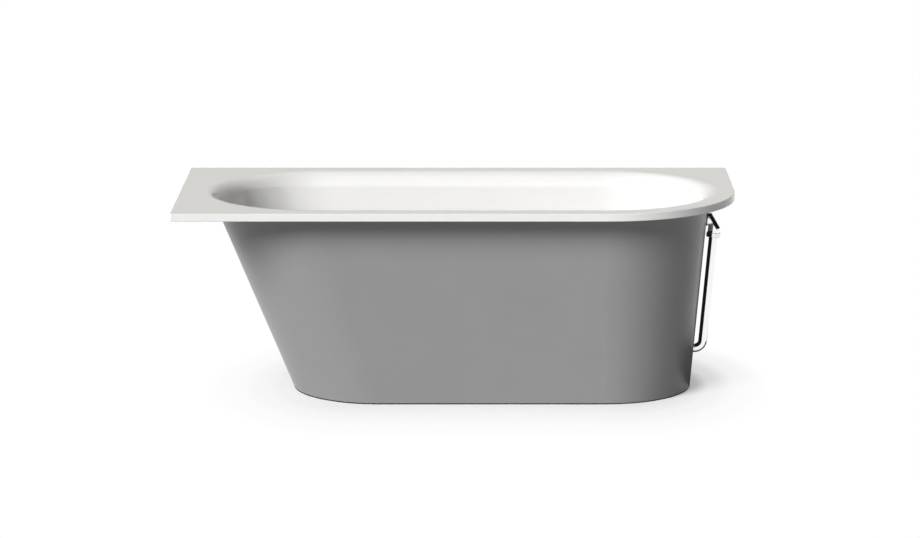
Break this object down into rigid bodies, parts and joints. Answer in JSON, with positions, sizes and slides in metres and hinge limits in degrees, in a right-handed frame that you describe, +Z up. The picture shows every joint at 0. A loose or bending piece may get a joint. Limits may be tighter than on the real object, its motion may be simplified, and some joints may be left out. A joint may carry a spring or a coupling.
{
  "type": "built-in bathtub",
  "caption": "White corner bath with a flat rim and one rounded corner, a tapering grey skirt, an outside chrome overflow pipe, a click waste and levelling feet.",
  "frame": {"origin": "on the floor, under the middle of the rim", "axes": "+X along the bath towards the rounded end with the overflow pipe, +Y back towards the wall, +Z up"},
  "size_m": [1.7, 0.8, 0.612],
  "materials": {
    "white_gelcoat": "high gloss white gelcoat",
    "grey_skirt": "satin grey",
    "chrome": "polished",
    "seal_rubber": "matt black",
    "bond_adhesive": "cured adhesive",
    "bonded_board": "raw board",
    "brass": "machined",
    "black_plastic": "moulded",
    "white_pipe_plastic": "moulded",
    "zinc_steel": "zinc plated"
  },
  "bodies": {
    "bath": {"bar_screws": "zinc_steel", "base_board": "bonded_board", "bath_shell": "white_gelcoat", "bond_pads": "bond_adhesive", "cleaning_cap": "white_pipe_plastic", "cleaning_cap_seal": "seal_rubber", "collar_nut": "chrome", "collar_seal": "seal_rubber", "elbow_seal": "seal_rubber", "foot_bar": "zinc_steel", "head_bar": "zinc_steel", "inlet_seal": "seal_rubber", "lock_nuts": "zinc_steel", "outer_skirt": "grey_skirt", "outlet_nut": "white_pipe_plastic", "outlet_pipe": "white_pipe_plastic", "outlet_seal": "seal_rubber", "overflow_cover": "chrome", "overflow_elbow": "chrome", "overflow_inlet": "chrome", "overflow_pipe": "chrome", "overflow_spacer": "seal_rubber", "pipe_grommet": "seal_rubber", "plug_cartridge": "brass", "skirt_tie_foot_back": "zinc_steel", "skirt_tie_foot_front": "zinc_steel", "skirt_tie_head_back": "zinc_steel", "skirt_tie_head_front": "zinc_steel", "skirt_top_seal": "seal_rubber", "tee_nut": "white_pipe_plastic", "tee_seal": "seal_rubber", "tie_bolts": "zinc_steel", "tie_nuts": "zinc_steel", "trap_body": "white_pipe_plastic", "trap_nut": "white_pipe_plastic", "trap_seal": "seal_rubber", "wall_bracket_left": "zinc_steel", "wall_bracket_middle": "zinc_steel", "wall_bracket_right": "zinc_steel", "wall_bracket_screws": "zinc_steel", "waste_body": "white_pipe_plastic", "waste_body_seal": "seal_rubber", "waste_flange": "chrome", "waste_flange_seal": "seal_rubber"},
    "plug": {"waste_plug": "chrome", "plug_seal": "seal_rubber"},
    "foot_head_front": {"foot_pad_head_front": "black_plastic", "foot_stud_head_front": "zinc_steel"},
    "nut_head_front": {"adjuster_nut_head_front": "zinc_steel"},
    "foot_head_back": {"foot_pad_head_back": "black_plastic", "foot_stud_head_back": "zinc_steel"},
    "nut_head_back": {"adjuster_nut_head_back": "zinc_steel"},
    "foot_foot_front": {"foot_pad_foot_front": "black_plastic", "foot_stud_foot_front": "zinc_steel"},
    "nut_foot_front": {"adjuster_nut_foot_front": "zinc_steel"},
    "foot_foot_back": {"foot_pad_foot_back": "black_plastic", "foot_stud_foot_back": "zinc_steel"},
    "nut_foot_back": {"adjuster_nut_foot_back": "zinc_steel"}
  },
  "joints": [
    {"name": "plug_lift", "type": "slide", "parent": "bath", "child": "plug", "axis": [0, 0, 1], "range_m": [0, 0.01]},
    {"name": "nut_turn_head_front", "type": "hinge", "parent": "bath", "child": "nut_head_front", "pos_m": [-0.19984, -0.20538, 0.1365], "axis": [0, 0, 1], "range_deg": [0, 6171.43]},
    {"name": "foot_level_head_front", "type": "slide", "parent": "bath", "child": "foot_head_front", "axis": [0, 0, -1], "range_m": [0, 0.03]},
    {"name": "nut_turn_head_back", "type": "hinge", "parent": "bath", "child": "nut_head_back", "pos_m": [-0.19984, 0.20538, 0.1365], "axis": [0, 0, 1], "range_deg": [0, 6171.43]},
    {"name": "foot_level_head_back", "type": "slide", "parent": "bath", "child": "foot_head_back", "axis": [0, 0, -1], "range_m": [0, 0.03]},
    {"name": "nut_turn_foot_front", "type": "hinge", "parent": "bath", "child": "nut_foot_front", "pos_m": [0.27, -0.20538, 0.1365], "axis": [0, 0, 1], "range_deg": [0, 6171.43]},
    {"name": "foot_level_foot_front", "type": "slide", "parent": "bath", "child": "foot_foot_front", "axis": [0, 0, -1], "range_m": [0, 0.03]},
    {"name": "nut_turn_foot_back", "type": "hinge", "parent": "bath", "child": "nut_foot_back", "pos_m": [0.27, 0.20538, 0.1365], "axis": [0, 0, 1], "range_deg": [0, 6171.43]},
    {"name": "foot_level_foot_back", "type": "slide", "parent": "bath", "child": "foot_foot_back", "axis": [0, 0, -1], "range_m": [0, 0.03]}
  ],
  "couplings": [
    {"joint": "foot_level_head_front", "follows": "nut_turn_head_front", "m_per_rad": 0.00027852},
    {"joint": "foot_level_head_back", "follows": "nut_turn_head_back", "m_per_rad": 0.00027852},
    {"joint": "foot_level_foot_front", "follows": "nut_turn_foot_front", "m_per_rad": 0.00027852},
    {"joint": "foot_level_foot_back", "follows": "nut_turn_foot_back", "m_per_rad": 0.00027852}
  ]
}
